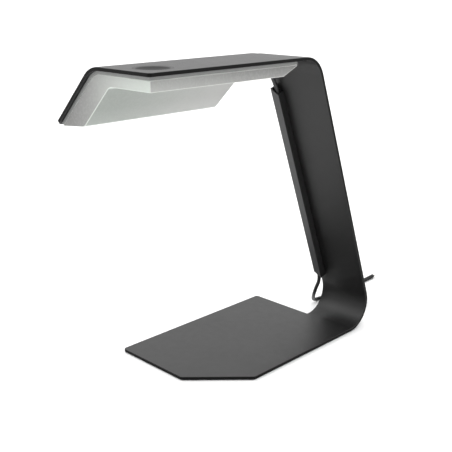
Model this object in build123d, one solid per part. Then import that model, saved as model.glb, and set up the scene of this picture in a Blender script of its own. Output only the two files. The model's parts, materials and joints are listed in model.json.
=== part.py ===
from build123d import *
import math
import os

# Desk lamp bent from one sheet: base, leaning column and head with a folded flap.
# X runs across the lamp, -Y points the way the head reaches, Z is up.
# The origin is on the table, at the centre of the lamp's own footprint box.

# ---- driving dimensions, millimetres and degrees ----
sheet = 4.0                  # sheet thickness
sheet_height = 380.0         # underside of the base to the top of the head
overall_depth = 385.0        # front edge of the head to the back of the lower bend
base_width = 175.0
base_length = 260.0          # front edge of the base to the tangent of the lower bend
base_chamfer_x = 63.0
base_chamfer_y = 64.0
column_width = 76.0
lean = 20.5                  # column's lean towards the front
low_bend_radius = 36.0       # outer radius
top_bend_radius = 33.0       # outer radius
head_flat = 82.0             # near edge to the start of the flap's fold
fold_radius = 33.0           # outer radius of the flap's fold
fold_angle = 45.0
flap_length = 79.0           # straight part of the flap
relief_gap = 2.0             # wide plates stop this far before a bend
corner_radius = 4.0
foot_height = 1.0
foot_radius = 7.0

frame_inset = 3.5            # diffuser frame back from the sheet's edges
frame_height = 3.5
frame_wall = 6.0
tray_rear_gap = 13.4         # frame's back end in front of the upper bend
tray_slope_run = 23.0        # from the back of the diffuser's floor to its rim
tray_depth_flat = 15.5       # diffuser floor below the flat of the head
tray_depth_flap = 29.4       # diffuser floor below the flap
tray_floor_end = 46.0        # where that floor ends, along the flap
tray_wall = 1.8
tray_slope_wall = 2.9        # wall of the sloping back, along Y
tray_lip = 1.6
floor_turn_radius = 12.0     # round the floor's turn under the fold
floor_end_radius = 10.0      # and its turn up to the flap's end
rim_end_run = 4.0
rim_end_radius = 1.0

duct_width = 11.0
duct_height = 10.5           # proud of the column's front face
duct_wall = 1.4
duct_overhang = 1.5          # past the column's far edge
duct_low = 14.0              # ends of the duct along the column, on its inner side
duct_high = 303.0
duct_slant = 38.0            # slant of both ends
duct_base_thickness = 1.2
duct_base_setback = 1.0      # from the cover's ends
duct_screw_places = (60.0, 160.0, 260.0)
duct_screw_depth = 2.4
duct_screw_head_radius = 2.6
duct_screw_head_height = 0.8

lead_diameter = 5.2
lead_gap = 0.15              # clearance of a lead in its hole
lead_rise = 5.2              # lead's middle above the column's front face
gland_low = 15.0             # lower end of the gland, along the column
gland_length = 10.0
gland_gap = 0.05             # round the gland, inside the duct
grip_run = 12.0              # the lead lines up with the column this far above the gland's end
exit_run = 10.0              # straight run of the lead out of the gland
exit_side = 1.2              # the lead leaves the gland this far to the side
exit_lift = 1.2              # and this far out from the column
grommet_radius = 4.0
boss_half = 6.0
boss_reach = 6.0             # behind the frame
boss_inside = 12.0           # in front of the frame's back face
boss_height = 10.5
boss_slot_gap = 0.2          # round the boss, in the diffuser
boss_slot_depth = 14.0
grommet_rear = 3.0           # grommet past the boss
grommet_flange = 2.0
grommet_flange_rise = 0.9
entry_drop = 5.2             # lead's middle below the head, where it enters the tray

ear_half = 5.0
ear_reach = 8.0
ear_thickness = 2.0
ear_front_gap = 40.0         # first ear, behind the button's centre
ear_back_gap = 37.5          # last ear, in front of the frame's back end
ear_count = 3                # along each side
stud_length = 7.0
nut_width = 5.5              # across the flats, M3
nut_height = 2.4
tab_half = 5.0
tab_wall = 1.4
tab_foot = 1.5
tab_roof_gap = 1.0
tab_shift = 18.0             # tabs stand this far from the ears

button_radius = 21.0
button_gap = 0.3
button_setback_x = 36.0      # button centre from the near edge
button_setback_y = 35.0      # button centre from the head's front edge
button_travel = 1.2
button_dish = 2.4
button_rim = 1.5             # flat ring round the dish
button_drop = 0.1            # flange below the sheet when the button is up
stem_radius = 2.5
flange_rise = 1.75           # flange past the cap's side
flange_thickness = 1.2
stop_gap = 0.05
collar_wall = 2.2
collar_floor = 1.2

board_width = 46.0
board_length = 80.0
board_thickness = 1.6
board_lead = 24.5            # board's front edge in front of the button's centre
board_drop = 8.5             # underside of the head to the top of the board
screw_radius = 1.5           # M3
screw_head_radius = 2.75
screw_head_height = 1.6
screw_length = 5.0           # in its hole
screw_clearance = 0.2
post_radius = 2.5            # across the flats, halved
post_setback = 3.5           # board posts in from the board's edges
switch_half = 6.0
switch_height = 3.5
plunger_radius = 1.7
plunger_rise = 1.6           # plunger above the switch
plunger_depth = 1.6          # plunger inside the switch
plunger_gap = 0.15
plunger_room = 0.4           # left under the plunger at the end of its travel
inductor_place = (8.0, 62.0)      # from the board's middle, and from its front edge
inductor_base_half = 7.0
inductor_base_height = 1.2
inductor_radius = 6.0
inductor_height = 5.0
capacitor_place = (-12.0, 61.0)
capacitor_radius = 4.0
capacitor_height = 6.5
chip_place = (17.0, 62.0)
chip_half_width = 1.9
chip_half_length = 2.5
chip_height = 1.5
terminal_shift = -8.0        # from the board's middle
terminal_half = 5.0
terminal_length = 8.5
terminal_height = 7.2
terminal_wall = 2.0
terminal_floor = 1.0         # under its mouth
terminal_roof = 0.5          # over its mouth
terminal_setback = 0.5       # from the board's back edge
wire_setback = 66.0          # LED wires, from the board's front edge
wire_diameter = 1.2
wire_pitch = 2.4

spreader_thickness = 1.5
led_board_width = 14.0
led_board_thickness = 1.2
led_board_margin = 1.5       # spreader past each end of a board
led_screw_setback = 5.0      # from the board's ends
led_setback = 12.0           # first LED, from the board's end
led_count = 12
led_rows = (20.0, 46.0)      # middle of each LED board, along the flap
led_size = 3.5
led_height = 0.8
led_screw_length = 2.4
spreader_setback = 4.0       # from the fold
spreader_ear_gap = 1.0
engine_front_gap = 8.0       # spreader behind the frame's front edge
engine_back_gap = 18.0       # and in front of its back end

reflector_skin = 0.6
reflector_gap = 1.0          # round its edges, inside the frame
reflector_rear_gap = 24.0
reflector_floor_gap = 0.8    # above the diffuser's floor
reflector_fold_gap = 6.0     # its wall stands this far from the fold

coil_radius = 26.0           # middle of the turns
coil_turns_wide = 2
coil_turns_high = 4
coil_centre = (12.5, 241.0)
plug_radius = 3.1
plug_length = 24.0
relief_length = 8.0
relief_start_radius = 2.65
relief_end_radius = 2.95
barrel_radius = 1.75
barrel_length = 9.5
barrel_bore = 0.7
barrel_base = 1.0            # insulating disc at the barrel's root
barrel_base_setback = 0.5
tie_half_width = 5.0
tie_thickness = 1.0

# ---- places worked out from them ----
near_x = base_width / 2
far_x = -base_width / 2
column_far_x = near_x - column_width
head_front = -overall_depth / 2
bend_y = overall_depth / 2 - low_bend_radius
base_front = bend_y - base_length
base_rear = bend_y - relief_gap
top_z = foot_height + sheet_height
under_z = top_z - sheet
lean_sin = math.sin(math.radians(lean))
lean_cos = math.cos(math.radians(lean))
low_centre = (bend_y, foot_height + low_bend_radius)
column_run = (
    sheet_height - top_bend_radius - low_bend_radius
    + (top_bend_radius - low_bend_radius) * lean_sin
) / lean_cos
low_tangent = (
    low_centre[0] + low_bend_radius * lean_cos,
    low_centre[1] + low_bend_radius * lean_sin,
)
top_tangent = (
    low_tangent[0] - column_run * lean_sin,
    low_tangent[1] + column_run * lean_cos,
)
top_centre = (
    top_tangent[0] - top_bend_radius * lean_cos,
    top_tangent[1] - top_bend_radius * lean_sin,
)
head_rear = top_centre[0] - relief_gap
fold_x = near_x - head_flat
fold_centre_z = top_z - fold_radius
fold_sin = math.sin(math.radians(fold_angle))
fold_cos = math.cos(math.radians(fold_angle))
inner_fold = fold_radius - sheet

# Column plane: X across, Y out of the back, Z up the front face from the lower bend.
column_plane = Plane(
    origin=(0, low_tangent[0] - sheet * lean_cos, low_tangent[1] - sheet * lean_sin),
    x_dir=(1, 0, 0),
    z_dir=(0, -lean_sin, lean_cos),
)
# Flap plane: X down the flap from its fold, Z away from its underside.
flap_plane = Plane(
    origin=(fold_x - inner_fold * fold_sin, 0, fold_centre_z + inner_fold * fold_cos),
    x_dir=(-fold_cos, 0, -fold_sin),
    z_dir=(fold_sin, 0, -fold_cos),
)

button_x = near_x - button_setback_x
button_y = head_front + button_setback_y
flange_radius = button_radius + flange_rise

frame_near = near_x - frame_inset
frame_front = head_front + frame_inset
frame_end = flap_length - frame_inset
frame_back = top_centre[0] - tray_rear_gap
floor_back = frame_back - tray_slope_run
ear_first = button_y + ear_front_gap
ear_last = frame_back - ear_back_gap
ear_pitch = (ear_last - ear_first) / (ear_count - 1)
ear_rows = [ear_first + i * ear_pitch for i in range(ear_count)]

board_top = under_z - board_drop
board_x = button_x
board_front = button_y - board_lead
board_back = board_front + board_length
switch_top = board_top + switch_height
post_places = [
    (board_x + side * (board_width / 2 - post_setback), y)
    for side in (-1, 1)
    for y in (board_front + post_setback, board_back - post_setback)
]
terminal_x = board_x + terminal_shift
wire_y = board_front + wire_setback
engine_front = frame_front + engine_front_gap
engine_back = frame_back - engine_back_gap
engine_middle = (engine_front + engine_back) / 2
led_board_length = engine_back - engine_front - 2 * led_board_margin

duct_far = column_far_x - duct_overhang
duct_near = duct_far + duct_width
strip_x = (column_far_x + duct_near - duct_wall) / 2
lead_x = strip_x
entry_z = under_z - entry_drop


def box(x0, x1, y0, y1, z0, z1):
    """A block between two corners."""
    return Pos((x0 + x1) / 2, (y0 + y1) / 2, (z0 + z1) / 2) * Box(x1 - x0, y1 - y0, z1 - z0)


def rod(x, y, z0, z1, radius):
    """An upright cylinder."""
    return Pos(x, y, (z0 + z1) / 2) * Cylinder(radius, z1 - z0)


def in_plane(plane, solid):
    """A solid drawn in a plane's own axes, put in place."""
    return plane.location * solid


def save(solids, name, color):
    """Write one sub-part, made of one or more separate solids."""
    group = solids if isinstance(solids, list) else [solids]
    shape = Compound(children=group) if len(group) > 1 else group[0]
    shape.label = name
    shape.color = Color(*color)
    export_step(shape, f"parts/{name}.step")
    return shape


# ---- sheet body ----
def bend_band():
    """Lower bend, column and upper bend, at the column's width."""
    low = Vector(*low_centre)
    top = Vector(*top_centre)
    normal = Vector(lean_cos, lean_sin)
    back = Vector(math.cos(math.radians(lean / 2 - 45)), math.sin(math.radians(lean / 2 - 45)))
    crown = Vector(
        math.cos(math.radians(lean / 2 + 45)), math.sin(math.radians(lean / 2 + 45))
    )
    low_inner = low_bend_radius - sheet
    top_inner = top_bend_radius - sheet
    down = Vector(0, -1)
    up = Vector(0, 1)
    outline = [
        ThreePointArc(low + down * low_bend_radius, low + back * low_bend_radius,
                      low + normal * low_bend_radius),
        Line(low + normal * low_bend_radius, top + normal * top_bend_radius),
        ThreePointArc(top + normal * top_bend_radius, top + crown * top_bend_radius,
                      top + up * top_bend_radius),
        Line(top + up * top_bend_radius, top + up * top_inner),
        ThreePointArc(top + up * top_inner, top + crown * top_inner,
                      top + normal * top_inner),
        Line(top + normal * top_inner, low + normal * low_inner),
        ThreePointArc(low + normal * low_inner, low + back * low_inner,
                      low + down * low_inner),
        Line(low + down * low_inner, low + down * low_bend_radius),
    ]
    face = make_face(outline)
    placed = Plane.YZ.offset(column_far_x).location * face
    return extrude(placed, amount=column_width, dir=(1, 0, 0))


def rounded_plate(points, sharp, z):
    """A flat plate with rounded corners, apart from the corners named sharp."""
    face = make_face(Polyline(*points, close=True))
    corners = [
        v for v in face.vertices()
        if all((v.X - x) ** 2 + (v.Y - y) ** 2 > 1e-6 for x, y in sharp)
    ]
    face = fillet(corners, corner_radius)
    return extrude(Pos(0, 0, z) * face, amount=sheet)


def base_plate():
    near_bend = (near_x, bend_y)
    far_bend = (column_far_x, bend_y)
    notch = (column_far_x, base_rear)
    points = [
        (far_x, base_front),
        (near_x - base_chamfer_x, base_front),
        (near_x, base_front + base_chamfer_y),
        near_bend,
        far_bend,
        notch,
        (far_x, base_rear),
    ]
    return rounded_plate(points, [near_bend, far_bend, notch], foot_height)


def head_plate():
    fold_front = (fold_x, head_front)
    fold_rear = (fold_x, head_rear)
    notch = (column_far_x, head_rear)
    far_bend = (column_far_x, top_centre[0])
    near_bend = (near_x, top_centre[0])
    points = [fold_front, (near_x, head_front), near_bend, far_bend, notch, fold_rear]
    sharp = [fold_front, near_bend, far_bend, notch, fold_rear]
    return rounded_plate(points, sharp, under_z)


def flap():
    """The fold and the flap that comes down from it."""
    centre = Vector(fold_x, fold_centre_z)
    half = math.radians(fold_angle / 2)
    start = Vector(0, 1)
    middle = Vector(-math.sin(half), math.cos(half))
    end = Vector(-fold_sin, fold_cos)
    outline = [
        ThreePointArc(centre + start * fold_radius, centre + middle * fold_radius,
                      centre + end * fold_radius),
        Line(centre + end * fold_radius, centre + end * inner_fold),
        ThreePointArc(centre + end * inner_fold, centre + middle * inner_fold,
                      centre + start * inner_fold),
        Line(centre + start * inner_fold, centre + start * fold_radius),
    ]
    placed = Plane.XZ.offset(-head_front).location * make_face(outline)
    fold = extrude(placed, amount=head_rear - head_front, dir=(0, 1, 0))
    wing = make_face(Polyline(
        (0, head_front), (flap_length, head_front), (flap_length, head_rear), (0, head_rear),
        close=True,
    ))
    wing = fillet([v for v in wing.vertices() if v.X > 1], corner_radius)
    wing = in_plane(flap_plane, extrude(Pos(0, 0, -sheet) * wing, amount=sheet))
    return fold + wing


def sheet_body():
    body = base_plate() + bend_band() + head_plate() + flap()
    body -= rod(button_x, button_y, under_z - 1, top_z + 1, button_radius + button_gap)
    for s in duct_screw_places:
        body -= column_pin(s, -1, duct_screw_depth + screw_clearance, screw_radius)
    return body


def column_pin(s, y0, y1, radius):
    """A cylinder square to the column's front face; y runs into the sheet."""
    return in_plane(
        column_plane, Pos(strip_x, (y0 + y1) / 2, s) * Rot(90, 0, 0) * Cylinder(radius, y1 - y0)
    )


def foot_pads():
    middle = (base_front + base_rear) / 2
    places = [
        (far_x + 15, base_front + 15),
        (0, base_front + 15),
        (far_x + 15, base_rear - 15),
        (near_x - 15, base_rear - 15),
        (near_x - 15, base_front + base_chamfer_y + 15),
        (0, middle),
    ]
    return [rod(x, y, 0, foot_height, foot_radius) for x, y in places]


# ---- light tray under the head ----
def v_section(y, inset, top, flat_depth, flap_depth, floor_end, lip, near_r, far_r):
    """Closed outline across the head: its roof is a distance below the sheet, its floor deeper.

    inset moves the near side and the flap's end in, floor_end is where the floor turns up to
    a lip of its own height at the end, near_r and far_r round the floor's two turns.
    """
    end = frame_end - inset
    near = frame_near - inset
    roof_z = under_z - top
    floor_z = under_z - flat_depth
    centre = Vector(fold_x, fold_centre_z)
    roof_r = inner_fold - top
    half = math.radians(fold_angle / 2)
    mid = centre + Vector(-math.sin(half), math.cos(half)) * roof_r

    def on_flap(along, depth):
        point = flap_plane.from_local_coords((along, 0, depth))
        return Vector(point.X, point.Z)

    floor_flap = on_flap(0, flap_depth)
    turn_x = floor_flap.X + (floor_z - floor_flap.Y) * fold_cos / fold_sin
    floor = [
        Vector(near, floor_z),
        Vector(turn_x, floor_z),
        on_flap(floor_end, flap_depth),
        on_flap(end, top + lip),
    ]
    radii = [near_r, far_r]
    edges = [
        Line(Vector(near, roof_z), Vector(fold_x, roof_z)),
        ThreePointArc(Vector(fold_x, roof_z), mid, on_flap(0, top)),
        Line(on_flap(0, top), on_flap(end, top)),
        Line(on_flap(end, top), floor[3]),
        Line(Vector(near, floor_z), Vector(near, roof_z)),
        FilletPolyline(*floor, radius=radii),
    ]
    return Plane.XZ.offset(-y).location * make_face(edges)


def tray_block(inset, front, top, wall, back_step):
    """The tray's outer or inner form: straight to the floor's back, then sloping up to the rim."""
    full = v_section(
        floor_back - back_step, inset, top, tray_depth_flat - wall, tray_depth_flap - wall,
        tray_floor_end - wall, tray_lip, floor_turn_radius + wall, floor_end_radius - wall,
    )
    rim_depth = top + tray_lip
    rim = v_section(
        frame_back - back_step, inset, top, rim_depth, rim_depth,
        frame_end - inset - rim_end_run, tray_lip / 2, inner_fold - rim_depth, rim_end_radius,
    )
    straight = extrude(full, amount=floor_back - back_step - front, dir=(0, -1, 0))
    slope = loft([full, rim], ruled=True)
    return straight + slope


def v_roof(inset, depth):
    """The line a set distance below the sheet, from the near side to the flap's end."""
    start = flap_plane.from_local_coords((0, 0, depth))
    stop = flap_plane.from_local_coords((frame_end - inset, 0, depth))
    centre = Vector(fold_x, fold_centre_z)
    half = math.radians(fold_angle / 2)
    middle = centre + Vector(-math.sin(half), math.cos(half)) * (inner_fold - depth)
    fold_start = Vector(fold_x, under_z - depth)
    return [
        Line(Vector(frame_near - inset, under_z - depth), fold_start),
        ThreePointArc(fold_start, middle, Vector(start.X, start.Z)),
        Line(Vector(start.X, start.Z), Vector(stop.X, stop.Z)),
    ]


def v_slab(inset, y0, y1, roof, floor):
    """A band that follows the sheet's underside, between two depths below it."""
    upper = v_roof(inset, roof)
    lower = v_roof(inset, floor)
    ends = [Line(upper[0] @ 0, lower[0] @ 0), Line(upper[-1] @ 1, lower[-1] @ 1)]
    face = Plane.XZ.offset(-y0).location * make_face(upper + lower + ends)
    return extrude(face, amount=y1 - y0, dir=(0, 1, 0))


def near_and_flap(make):
    """The same small piece along the near side of the head and along the flap's end.

    make draws it at y, with X from the frame's inner face inwards and Z down from the sheet.
    """
    near_side = Plane(
        origin=(frame_near - frame_wall, 0, under_z), x_dir=(-1, 0, 0), z_dir=(0, 0, -1)
    )
    end = flap_plane.from_local_coords((frame_end - frame_wall, 0, 0))
    flap_side = Plane(origin=end, x_dir=(fold_cos, 0, fold_sin), z_dir=flap_plane.z_dir)
    pieces = []
    for plane in (near_side, flap_side):
        for y in ear_rows:
            side = 1 if plane.y_dir.Y > 0 else -1
            pieces.append(in_plane(plane, make(y * side)))
    return pieces


def diffuser():
    """Frosted tray with small tabs that snap up behind the frame."""
    outer = tray_block(0, frame_front, frame_height, 0, 0)
    inner = tray_block(
        tray_wall, frame_front + tray_wall, frame_height, tray_wall, tray_slope_wall
    )
    tray = outer - inner

    def tab(y):
        y += tab_shift
        wall_face = tray_wall - frame_wall - 0.3
        foot = box(wall_face, tab_wall, y - tab_half, y + tab_half,
                   frame_height, frame_height + tab_foot)
        hook = box(0, tab_wall, y - tab_half, y + tab_half, tab_roof_gap, frame_height)
        return foot + hook

    for piece in near_and_flap(tab):
        tray += piece
    half = boss_half + boss_slot_gap
    slot = box(lead_x - half, lead_x + half, frame_back - boss_inside - boss_slot_gap,
               frame_back + 1, under_z - boss_slot_depth, under_z)
    return tray - slot


def diffuser_frame():
    """Rim between the sheet and the diffuser, with ears for its nuts and a boss for the lead."""
    ring = v_slab(0, frame_front, frame_back, 0, frame_height)
    ring -= v_slab(
        frame_wall, frame_front + frame_wall, frame_back - frame_wall, 0, frame_height
    )

    def ear(y):
        plate = box(-0.5, ear_reach, y - ear_half, y + ear_half, 0, ear_thickness)
        hole = Cylinder(screw_radius + screw_clearance, 4 * ear_thickness)
        return plate - Pos(ear_reach / 2, y, ear_thickness / 2) * hole

    for piece in near_and_flap(ear):
        ring += piece
    ring += box(lead_x - boss_half, lead_x + boss_half, frame_back - boss_inside,
                frame_back + boss_reach, under_z - boss_height, under_z)
    ring -= lead_bore(grommet_radius)
    return ring


def lead_bore(radius):
    """Hole along Y through the frame's boss and its back bar."""
    middle = frame_back + (boss_reach - boss_inside) / 2
    length = boss_reach + boss_inside + 2
    return Pos(lead_x, middle, entry_z) * Rot(90, 0, 0) * Cylinder(radius, length)


def frame_studs():
    def stud(y):
        return Pos(ear_reach / 2, y, stud_length / 2) * Cylinder(screw_radius, stud_length)

    return near_and_flap(stud)


def frame_nuts():
    def nut(y):
        body = extrude(RegularPolygon(nut_width / 2, 6, major_radius=False), amount=nut_height)
        body = Pos(ear_reach / 2, y, ear_thickness) * body
        return body - Pos(ear_reach / 2, y, ear_thickness) * Cylinder(screw_radius, 4 * nut_height)

    return near_and_flap(nut)


def lead_grommet():
    """Rubber bush in the boss, with a flange outside it."""
    rear = frame_back + boss_reach

    def along(y0, y1, radius):
        return Pos(lead_x, (y0 + y1) / 2, entry_z) * Rot(90, 0, 0) * Cylinder(radius, y1 - y0)

    ring = along(frame_back - 0.5, rear + grommet_rear - 0.5, grommet_radius)
    ring += along(rear, rear + grommet_flange, grommet_radius + grommet_flange_rise)
    return ring - along(frame_back - 5, rear + 5, lead_diameter / 2 + lead_gap)


# ---- push button ----
def button_cap():
    roof = under_z - button_drop
    cap = rod(button_x, button_y, roof, top_z, button_radius)
    cap += rod(button_x, button_y, roof - flange_thickness, roof, flange_radius)
    rim = button_radius - button_rim
    sphere = (rim ** 2 + button_dish ** 2) / (2 * button_dish)
    cap -= Pos(button_x, button_y, top_z - button_dish + sphere) * Sphere(sphere)
    stem_foot = switch_top + plunger_rise
    cap += rod(button_x, button_y, stem_foot, roof - flange_thickness, stem_radius)
    return cap


def button_collar():
    """Ring under the sheet that guides the cap and stops it at the end of its travel."""
    roof = under_z
    stop = under_z - button_drop - flange_thickness - button_travel - stop_gap
    foot = stop - collar_floor
    inside = flange_radius + button_gap
    ring = rod(button_x, button_y, foot, roof, inside + collar_wall)
    ring -= rod(button_x, button_y, stop, roof + 1, inside)
    ring -= rod(button_x, button_y, foot - 1, roof + 1, button_radius - button_rim)
    return ring


def switch_plunger():
    return rod(button_x, button_y, switch_top - plunger_depth, switch_top + plunger_rise,
               plunger_radius)


def switch_body():
    body = box(button_x - switch_half, button_x + switch_half, button_y - switch_half,
               button_y + switch_half, board_top, switch_top)
    floor = switch_top - plunger_depth - button_travel - plunger_room
    return body - rod(button_x, button_y, floor, switch_top + 1, plunger_radius + plunger_gap)


# ---- driver board ----
def board_posts():
    posts = []
    for x, y in post_places:
        post = extrude(RegularPolygon(post_radius, 6, major_radius=False), amount=board_drop)
        thread = rod(x, y, board_top - 1, board_top + screw_length + 1, screw_radius)
        posts.append(Pos(x, y, board_top) * post - thread)
    return posts


def driver_board():
    board = box(board_x - board_width / 2, board_x + board_width / 2, board_front,
                board_front + board_length, board_top - board_thickness, board_top)
    for x, y in post_places:
        board -= rod(x, y, board_top - 5, board_top + 1, screw_radius + screw_clearance)
    return board


def board_screws():
    """Pan-head screws, from below the board up into its posts."""
    foot = board_top - board_thickness
    return [
        rod(x, y, foot, board_top + screw_length, screw_radius)
        + rod(x, y, foot - screw_head_height, foot, screw_head_radius)
        for x, y in post_places
    ]


def on_board(place):
    """A place on the board, from its middle line and its front edge."""
    return board_x + place[0], board_front + place[1]


def power_inductor():
    x, y = on_board(inductor_place)
    half = inductor_base_half
    base = box(x - half, x + half, y - half, y + half, board_top,
               board_top + inductor_base_height)
    return base + rod(x, y, board_top, board_top + inductor_height, inductor_radius)


def input_capacitor():
    x, y = on_board(capacitor_place)
    return rod(x, y, board_top, board_top + capacitor_height, capacitor_radius)


def driver_chip():
    x, y = on_board(chip_place)
    return box(x - chip_half_width, x + chip_half_width, y - chip_half_length,
               y + chip_half_length, board_top, board_top + chip_height)


def terminal_block():
    """Block with a mouth that takes the lead."""
    back = board_back - terminal_setback
    roof = board_top + terminal_height
    half = terminal_half
    block = box(terminal_x - half, terminal_x + half, back - terminal_length, back, board_top, roof)
    mouth = half - terminal_wall
    return block - box(terminal_x - mouth, terminal_x + mouth, back - terminal_length / 2, back + 1,
                       board_top + terminal_floor, roof - terminal_roof)


# ---- light engine on the flap ----
def on_flap(solid):
    return in_plane(flap_plane, solid)


def led_screw_places():
    """Where a board is held: near each of its ends."""
    reach = led_board_length / 2 - led_screw_setback
    return [(along, engine_middle + end * reach) for along in led_rows for end in (-1, 1)]


def heat_spreader():
    end = frame_end - frame_wall - ear_reach - spreader_ear_gap
    plate = box(spreader_setback, end, engine_front, engine_back, 0, spreader_thickness)
    for along, y in led_screw_places():
        plate -= Pos(along, y, 0) * Cylinder(screw_radius, 4 * spreader_thickness)
    return on_flap(plate)


def led_boards():
    floor = spreader_thickness
    half = led_board_width / 2
    boards = []
    for along in led_rows:
        board = box(along - half, along + half, engine_middle - led_board_length / 2,
                    engine_middle + led_board_length / 2, floor, floor + led_board_thickness)
        for hole_along, y in led_screw_places():
            hole = Cylinder(screw_radius + screw_clearance, 6 * led_board_thickness)
            board -= Pos(hole_along, y, floor) * hole
        boards.append(on_flap(board))
    return boards


def leds(along):
    floor = spreader_thickness + led_board_thickness
    run = led_board_length - 2 * led_setback
    pitch = run / (led_count - 1)
    first = engine_middle - run / 2
    half = led_size / 2
    return [
        on_flap(box(along - half, along + half, first + i * pitch - half,
                    first + i * pitch + half, floor, floor + led_height))
        for i in range(led_count)
    ]


def led_screws():
    """Screws that hold the boards down on the spreader."""
    floor = spreader_thickness + led_board_thickness
    screws = []
    for along, y in led_screw_places():
        shank = Cylinder(screw_radius, led_screw_length)
        shank = Pos(along, y, floor - led_screw_length / 2) * shank
        head = Cylinder(screw_head_radius, screw_head_height)
        head = Pos(along, y, floor + screw_head_height / 2) * head
        screws.append(on_flap(shank + head))
    return screws


def reflector():
    """White sheet that hides the board from the diffuser and stands beside the light box."""
    y0 = frame_front + frame_wall + reflector_gap
    y1 = frame_back - frame_wall - reflector_rear_gap
    x0 = fold_x + reflector_fold_gap
    x1 = frame_near - frame_wall - reflector_gap
    floor = under_z - tray_depth_flat + tray_wall + reflector_floor_gap
    panel = box(x0, x1, y0, y1, floor, floor + reflector_skin)
    panel += box(x0, x0 + reflector_skin, y0, y1, floor, under_z)
    wires = box(x0 - 1, x0 + 1, wire_y - wire_pitch, wire_y + 2 * wire_pitch,
                under_z - 10, under_z - 6)
    return panel - wires


# ---- duct on the column ----
def slanted_bar(x0, x1, y0, y1, low, high):
    """A bar along the column, both ends cut on the duct's slant, far side higher."""
    rise = math.tan(math.radians(duct_slant))
    outline = Polyline(
        (x0, low + (duct_near - x0) * rise),
        (x1, low + (duct_near - x1) * rise),
        (x1, high + (duct_near - x1) * rise),
        (x0, high + (duct_near - x0) * rise),
        close=True,
    )
    face = Plane.XZ.offset(-y1) * make_face(outline)
    return in_plane(column_plane, extrude(face, amount=y1 - y0, dir=(0, -1, 0)))


def duct_cover():
    """Channel with its open side on the column, its far wall hooked over the sheet's edge."""
    low, high = duct_low, duct_high
    cover = slanted_bar(duct_far, duct_near, -duct_height, 0, low, high)
    cover -= slanted_bar(column_far_x, duct_near - duct_wall, -duct_height + duct_wall, 1,
                         low - 5, high + 5)
    return cover + slanted_bar(duct_far, column_far_x, -1, sheet, low, high)


def duct_base():
    """Strip screwed to the column, which the cover snaps over."""
    strip = slanted_bar(column_far_x, duct_near - duct_wall, -duct_base_thickness, 0,
                        duct_low + duct_base_setback, duct_high - duct_base_setback)
    for s in duct_screw_places:
        strip -= column_pin(s, -5, 1, screw_radius + 0.1)
    return strip


def duct_screws():
    """Thin-head screws through the strip, into tapped holes in the column."""
    face = -duct_base_thickness
    return [
        column_pin(s, face, duct_screw_depth, screw_radius)
        + column_pin(s, face - duct_screw_head_height, face, duct_screw_head_radius)
        for s in duct_screw_places
    ]


def duct_gland():
    """Rubber plug in the duct's lower end that grips the lead."""
    plug = slanted_bar(column_far_x + gland_gap, duct_near - duct_wall - gland_gap,
                       -duct_height + duct_wall + gland_gap, -duct_base_thickness - gland_gap,
                       gland_low, gland_low + gland_length)
    return plug - riser_lead() - power_lead()


# ---- leads ----
def tube(points, diameter):
    """Round tube along straight runs joined by arcs as large as the runs allow."""
    path_points = [Vector(*p) for p in points]
    radii = []
    for i in range(1, len(path_points) - 1):
        before = path_points[i] - path_points[i - 1]
        after = path_points[i + 1] - path_points[i]
        turn = math.radians(before.get_angle(after))
        radii.append(0.45 * min(before.length, after.length) / math.tan(turn / 2))
    line = FilletPolyline(*path_points, radius=radii)
    start = Plane(origin=path_points[0], z_dir=path_points[1] - path_points[0])
    solid = sweep(start.location * Circle(diameter / 2), path=line)
    section = math.pi * diameter ** 2 / 4
    print("arcs", [round(r / diameter, 1) for r in radii], "diameters; length",
          round(line.length, 1), "volume share", round(solid.volume / section / line.length, 4))
    return solid


def column_point(x, rise, s):
    point = column_plane.from_local_coords((x, -rise, s))
    return (point.X, point.Y, point.Z)


exit_point = column_point(lead_x - exit_side, lead_rise + exit_lift, gland_low)
grip_point = column_point(lead_x, lead_rise, gland_low + grip_run)


def riser_lead():
    """Lead held by the duct, up into the head and along it into the board's terminals."""
    seat = board_top + (terminal_floor + terminal_height - terminal_roof) / 2
    return tube([
        exit_point,
        grip_point,
        column_point(lead_x, lead_rise, column_run - 14),
        (lead_x, top_centre[0] + 9, entry_z - 4.5),
        (lead_x, frame_back + boss_reach + 6, entry_z),
        (lead_x, frame_back - 24, entry_z),
        (terminal_x - 3, board_back + 38, seat - 0.4),
        (terminal_x, board_back - terminal_setback - 3, seat),
    ], lead_diameter)


def led_wires():
    """Pair of thin wires from the board to the first LED board."""
    wires = []
    end_along = led_rows[0] - led_board_width / 2 - 2.0
    for shift in (0, wire_pitch):
        end = flap_plane.from_local_coords((end_along, wire_y + shift, spreader_thickness + 1.3))
        wires.append(tube([
            (board_x - board_width / 2 + 1, wire_y + shift, board_top + wire_diameter / 2 + 0.1),
            (fold_x + 14, wire_y + shift, under_z - 8.4),
            (fold_x + 1, wire_y + shift, under_z - 8.0),
            (fold_x - 13, wire_y + shift, under_z - 13.0),
            (end.X, end.Y, end.Z),
        ], wire_diameter))
    return wires


lead_route = [
    (10.3, 175.4, 41.0),
    (6.0, 175.5, 28.5),
    (-4.5, 187.5, 15.5),
    (-14.0, 201.0, 5.8),
    (-16.0, 214.0, 2.6),
    (-14.8, 227.8, 2.6),
]
tail_route = [
    (-13.4, 256.0, 16.6),
    (-12.6, 272.0, 10.5),
    (-11.3, 288.0, 4.6),
    (-10.2, 304.0, 2.6),
]
plug_start = (-10.6, 320.0, 3.0)


def power_lead():
    straight = (Vector(*exit_point) - Vector(*grip_point)).normalized() * exit_run
    first = Vector(*exit_point) + straight
    end = (coil_centre[0] - coil_radius, coil_centre[1], lead_diameter / 2)
    return tube([exit_point, (first.X, first.Y, first.Z)] + lead_route + [end], lead_diameter)


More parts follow.
